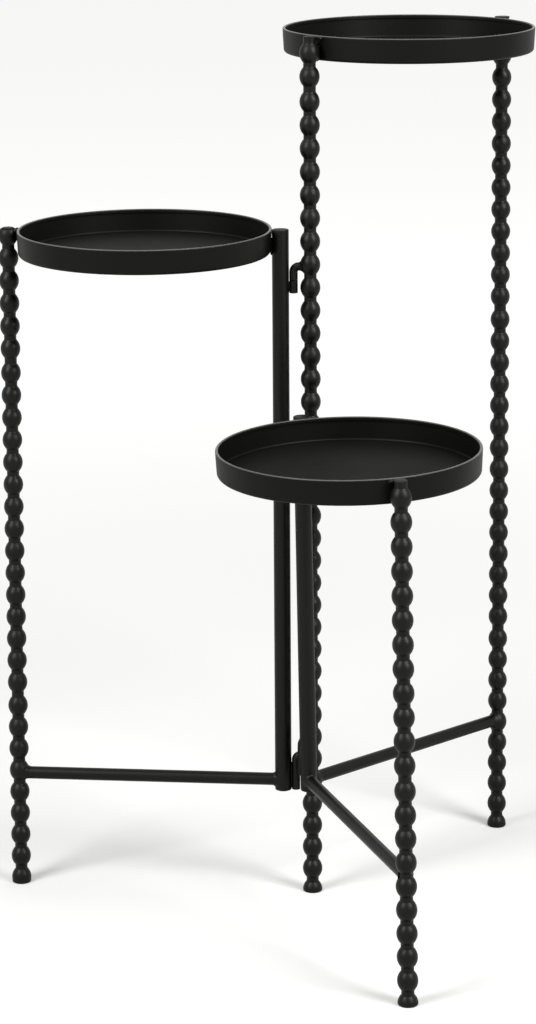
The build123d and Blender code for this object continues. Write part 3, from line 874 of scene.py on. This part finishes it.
def seam_weld(axes, x, height, run, depth, sizes):
    """Upright run of weld: a flattened, round-ended rod whose radius swells with each ripple of the arc.

    The radius is that of a capsule, less a small cosine of the height over the ripple's spacing. Across the
    groove it is scaled to the groove's depth, so that it stays within the wall of the tube or tray.
    """
    radius, half = sizes.weld, run / 2
    z = np.sin(np.linspace(-math.pi / 2, math.pi / 2, 41)) * half
    past = np.maximum(np.abs(z) - (half - radius), 0)
    profile = np.sqrt(np.maximum(radius**2 - past**2, 0))
    profile *= 1 - 0.05 * (1 - np.cos(2 * math.pi * z / RIPPLE))
    profile[[0, -1]] = 0
    angles = np.linspace(0, 2 * math.pi, 24, endpoint=False)
    across, along = profile[:, None] * np.cos(angles), profile[:, None] * np.sin(angles)
    local = np.stack([x + across * depth / radius, along, height + z[:, None] + 0 * angles], axis=-1)
    return shell(to_world(axes, local), False)


def collar_weld(axes, radius_at, height, rod, reach, spread):
    """Fillet of weld round a bar where it meets a tube.

    Each row lies on the tube's surface plus a distance out along the bar, and its radius falls from the
    weld's spread to the bar's own, as the square of what is left. Ripples run round it.
    """
    angles = np.linspace(0, 2 * math.pi, 72, endpoint=False)
    share = np.linspace(0, 1, 7)
    out = np.concatenate([[-0.5 * MM], reach * share**1.3, [reach, -0.5 * MM]])
    around = np.concatenate([[rod + spread], rod + 0.15 * MM + (spread - 0.15 * MM) * (1 - share) ** 1.6])
    around = np.concatenate([around, [rod - 0.3 * MM, rod - 0.3 * MM]])
    ripples = np.concatenate([[0.0], 0.12 * MM * np.sin(math.pi * share), [0.0, 0.0]])
    steps = round(2 * math.pi * rod / RIPPLE)
    ring = around[:, None] + ripples[:, None] * np.cos(steps * angles)
    across, rise = ring * np.cos(angles), ring * np.sin(angles)
    along = tube_face(across, height + rise, radius_at) + out[:, None]
    return shell(to_world(axes, np.stack([along, across, rise], axis=-1)), True)


def rim_weld(axes, x, height, run):
    """Level run of weld behind a leg's cap: a bar along the rim whose radius falls to nought at both ends.

    The radius goes with the fourth root of one less the square of the distance from the middle, and ripples.
    """
    radius, half = RIM_WELD_RADIUS, run / 2
    y = np.sin(np.linspace(-math.pi / 2, math.pi / 2, 33)) * half
    profile = radius * np.sqrt(1 - (y / half) ** 2) ** 0.5
    profile = profile * (1 - 0.07 * (1 - np.cos(2 * math.pi * y / RIPPLE)))
    profile[[0, -1]] = 0
    angles = np.linspace(0, 2 * math.pi, 20, endpoint=False)
    across, rise = -profile[:, None] * np.cos(angles), profile[:, None] * np.sin(angles)
    local = np.stack([x + across, y[:, None] + 0 * angles, height + rise], axis=-1)
    return shell(to_world(axes, local), False)


def tray_welds(side, tier, sizes):
    """Welds between a tray and its two tubes, one on the nearest bead of each beaded leg."""
    rim, slope = RIM_HEIGHTS[tier], math.tan(TRAY_DRAFT)
    legs, axes = legs_of(sizes), stand_frame(side, sizes)
    ends = [("centre", 0.0, 1), ("rear", legs["rear"][1], -1)]
    if side != "centre":
        ends = [(None, 0.0, 1), (side, legs[side][1], -1)]
    welds = []
    for leg, x, way in ends:
        crest, run, radius = rim - POST_WELD_BELOW_RIM, TRAY_WELD_RUN, sizes.post / 2
        if leg:
            beads, radius = bead_middles(leg, legs[leg][2], sizes), sizes.leg_crest / 2
            crest = float(beads[np.abs(beads - rim + sizes.tray_depth / 2).argmin()])
            run = min(TRAY_WELD_RUN, 2 * (rim - 0.5 * MM - crest))
        wall = radius + WELD_GAP + (rim - sizes.rim_width / 2 - crest) * slope
        welds.append(seam_weld(axes, x + way * (radius + wall) / 2, crest, run, TRAY_WELD_DEPTH, sizes))
        if leg:
            height = rim - RIM_WELD_BELOW_RIM
            behind = float(beaded_radius(height, beads, sizes))
            if ends_straight(beads, legs[leg][2], sizes):
                behind = sizes.leg_neck / 2
            middle = (behind + radius + WELD_GAP) / 2
            welds.append(rim_weld(axes, x + way * (middle + 0.2 * MM), height, TRAY_WELD_RUN))
    return welds


def bar_welds(side, sizes):
    """Collars of weld at a stretcher's two ends."""
    inner, outer, span = tubes_at_bar(side, sizes)
    origin, directions = stand_frame(side, sizes)
    height, rod = STRETCHER_HEIGHTS[side], sizes.stretcher / 2
    start = (origin + height * directions[2], directions)
    end = (origin + np.array([span, 0, height]) @ directions, directions * np.array([[-1], [-1], [1]]))
    joints = ((start, inner), (end, outer))
    return [collar_weld(axes, face, height, rod, COLLAR_REACH, COLLAR_SPREAD) for axes, face in joints]


class STAND_OT_welds(bpy.types.Operator):
    """All welds of the three frames: rippled runs at trays and barrels, and collars at bars and arms."""

    bl_idname = "stand.welds"
    bl_label = "Welds"

    def execute(self, context):
        sizes = context.scene.stand_sizes
        centre_beads = bead_middles("centre", legs_of(sizes)["centre"][2], sizes)
        groups = {side: tray_welds(side, tier, sizes) for tier, (side, _) in trays_of(sizes).items()}
        for side in groups:
            groups[side] += bar_welds(side, sizes)
        for side in ("left", "front"):
            origin, directions = stand_frame(side, sizes)
            hook = heading(HOOK_ANGLES[side])
            for level, height in hinge_heights(side).items():
                axes = axes_of((0, 0, height), hook, (0, 0, 1))
                straight = PIN_REACH - sizes.arm_bend - sizes.leg_crest / 2
                groups["centre"].append(
                    collar_weld(
                        axes,
                        lambda at: beaded_radius(at, centre_beads, sizes),
                        height,
                        sizes.arm / 2,
                        straight,
                        COLLAR_SPREAD,
                    )
                )
                run = BARREL_LENGTHS[level] - 2.0 * MM
                middle = height - ARM_DROPS[level] - BARREL_GAP - BARREL_LENGTHS[level] / 2
                post_at = origin + directions[2] * (middle - origin[2]) / directions[2][2]
                away = hook * PIN_REACH + np.array([0, 0, middle]) - post_at
                distance = np.linalg.norm(away)
                groove = (distance - sizes.barrel / 2 + sizes.post / 2) / 2
                upright = axes_of(post_at, away / distance, (0, 0, 1))
                groups[side].append(seam_weld(upright, groove, 0.0, run, BARREL_WELD_DEPTH, sizes))
        for side, welds in groups.items():
            add_steel(f"{side}_frame_welds", "beads", welds, side)
        return {"FINISHED"}


# Stage


def soft_light(name, place, aim, width, height, power):
    """Rectangular area light aimed at a point."""
    lamp = bpy.data.lights.new(name, "AREA")
    lamp.shape = "RECTANGLE"
    lamp.size, lamp.size_y, lamp.energy = width, height, power
    light = bpy.data.objects.new(name, lamp)
    bpy.context.scene.collection.objects.link(light)
    toward = Vector(aim) - Vector(place)
    light.matrix_world = Matrix.Translation(place) @ toward.to_track_quat("-Z", "Y").to_matrix().to_4x4()
    return light


def photograph_camera(scene):
    """Camera at the photograph's viewing angle.

    It looks along +Y, turned by yaw, tipped down by pitch and rolled. The shift is only part of the
    photograph's, so that the views from other angles keep the stand in the picture.
    """
    pitch, roll, yaw = 0.1739, -0.011, -0.035
    forward = Vector((math.sin(yaw) * math.cos(pitch), math.cos(yaw) * math.cos(pitch), -math.sin(pitch)))
    level = Vector((math.cos(yaw), -math.sin(yaw), 0))
    up = level.cross(forward)
    right = math.cos(roll) * level + math.sin(roll) * up
    top = -math.sin(roll) * level + math.cos(roll) * up
    data = bpy.data.cameras.new("photograph_camera")
    sensor = 36.0
    data.sensor_width = sensor
    data.lens = 2.9581 * sensor
    data.shift_x, data.shift_y = 0.0767, -0.25
    data.clip_end = 200.0
    camera = bpy.data.objects.new("photograph_camera", data)
    scene.collection.objects.link(camera)
    place = Vector((-15.292, -2805.96, 1121.853)) * MM
    turn = Matrix((right, top, -forward)).transposed().to_4x4()
    camera.matrix_world = Matrix.Translation(place) @ turn
    scene.camera = camera


def seen_directly(tree):
    """One for rays from the camera, for gloss and for glass; nought for the light that falls on things."""
    path = add_node(tree, "ShaderNodeLightPath")
    value = path.outputs["Is Camera Ray"]
    for ray in ("Is Glossy Ray", "Is Transmission Ray"):
        both = add_node(tree, "ShaderNodeMath", {0: value, 1: path.outputs[ray]}, operation="MAXIMUM")
        value = both.outputs[0]
    return value


def white_world(scene):
    """Even grey light from all round. The camera, gloss and glass see it as plain white."""
    world = bpy.data.worlds.new("studio")
    world.use_nodes = True
    tree = world.node_tree
    tree.nodes.clear()
    ambient = add_node(tree, "ShaderNodeBackground", values={"Color": linear("#ffffff"), "Strength": 0.30})
    white = add_node(tree, "ShaderNodeBackground", values={"Color": linear("#ffffff"), "Strength": 1.0})
    mix = add_node(
        tree,
        "ShaderNodeMixShader",
        {"Fac": seen_directly(tree), 1: ambient.outputs["Background"], 2: white.outputs["Background"]},
    )
    add_node(tree, "ShaderNodeOutputWorld", {"Surface": mix.outputs["Shader"]})
    scene.world = world


def floor_paper():
    """Matt pale paper floor. Away from the stand, where the lights fall off, it glows to plain white."""
    material, tree, output = new_material("paper_floor")
    place = add_node(tree, "ShaderNodeTexCoord").outputs["Object"]
    distance = add_node(tree, "ShaderNodeVectorMath", {0: place}, operation="LENGTH").outputs["Value"]
    glow = add_node(
        tree,
        "ShaderNodeMapRange",
        {"Value": distance},
        {"From Min": 0.3, "From Max": 3.0, "To Min": 0.22, "To Max": 0.75},
        interpolation_type="SMOOTHSTEP",
    )
    strength = add_node(
        tree, "ShaderNodeMath", {0: glow.outputs["Result"], 1: seen_directly(tree)}, operation="MULTIPLY"
    )
    paper = add_node(tree, "ShaderNodeBsdfDiffuse", values={"Color": linear("#c4c4c2")})
    light = add_node(tree, "ShaderNodeEmission", {"Strength": strength.outputs["Value"]})
    both = add_node(tree, "ShaderNodeAddShader", {0: paper.outputs["BSDF"], 1: light.outputs["Emission"]})
    tree.links.new(both.outputs["Shader"], output.inputs["Surface"])
    return material


class STAND_OT_stage(bpy.types.Operator):
    """Pale floor, white surroundings, soft lights and the camera."""

    bl_idname = "stand.stage"
    bl_label = "Stage and camera"

    def execute(self, context):
        scene = context.scene
        studio = scene.stand_studio
        half = 40.0
        mesh = bpy.data.meshes.new("floor")
        corners = [(-half, -half, 0.0), (half, -half, 0.0), (half, half, 0.0), (-half, half, 0.0)]
        mesh.from_pydata(corners, [], [(0, 1, 2, 3)])
        mesh.materials.append(floor_paper())
        floor = bpy.data.objects.new("floor", mesh)
        scene.collection.objects.link(floor)
        for side, (place, width, height) in LIGHTS.items():
            watts = getattr(studio, f"{side}_light")
            soft_light(f"{side}_light", place, LIGHTS_AIM, width, height, watts)
        white_world(scene)
        photograph_camera(scene)
        scene.view_settings.view_transform = "Standard"
        return {"FINISHED"}


OPERATORS = (
    STAND_OT_beaded_legs,
    STAND_OT_leg_ends,
    STAND_OT_posts,
    STAND_OT_trays,
    STAND_OT_stretchers,
    STAND_OT_hinge_arms,
    STAND_OT_hinge_barrels,
    STAND_OT_welds,
    STAND_OT_stage,
)


class STAND_PT_panel(bpy.types.Panel):
    """Sidebar panel with the sizes, the colours, the lights and one button for each group of pieces."""

    bl_idname = "STAND_PT_panel"
    bl_label = "Plant stand"
    bl_space_type = "VIEW_3D"
    bl_region_type = "UI"
    bl_category = "Plant stand"

    def draw(self, context):
        scene = context.scene
        for group in (scene.stand_sizes, scene.stand_colours, scene.stand_studio):
            column = self.layout.column(align=True)
            for name in group.__annotations__:
                column.prop(group, name)
        for operator in OPERATORS:
            self.layout.operator(operator.bl_idname)


CLASSES = (StandSizes, StandColours, StudioSettings, *OPERATORS, STAND_PT_panel)


def register():
    for cls in CLASSES:
        bpy.utils.register_class(cls)
    bpy.types.Scene.stand_sizes = PointerProperty(type=StandSizes)
    bpy.types.Scene.stand_colours = PointerProperty(type=StandColours)
    bpy.types.Scene.stand_studio = PointerProperty(type=StudioSettings)


def unregister():
    del bpy.types.Scene.stand_sizes
    del bpy.types.Scene.stand_colours
    del bpy.types.Scene.stand_studio
    for cls in reversed(CLASSES):
        bpy.utils.unregister_class(cls)


def main():
    register()
    bpy.ops.stand.beaded_legs()
    bpy.ops.stand.leg_ends()
    bpy.ops.stand.posts()
    bpy.ops.stand.trays()
    bpy.ops.stand.stretchers()
    bpy.ops.stand.hinge_arms()
    bpy.ops.stand.hinge_barrels()
    bpy.ops.stand.welds()
    bpy.ops.stand.stage()


if __name__ == "__main__":
    main()
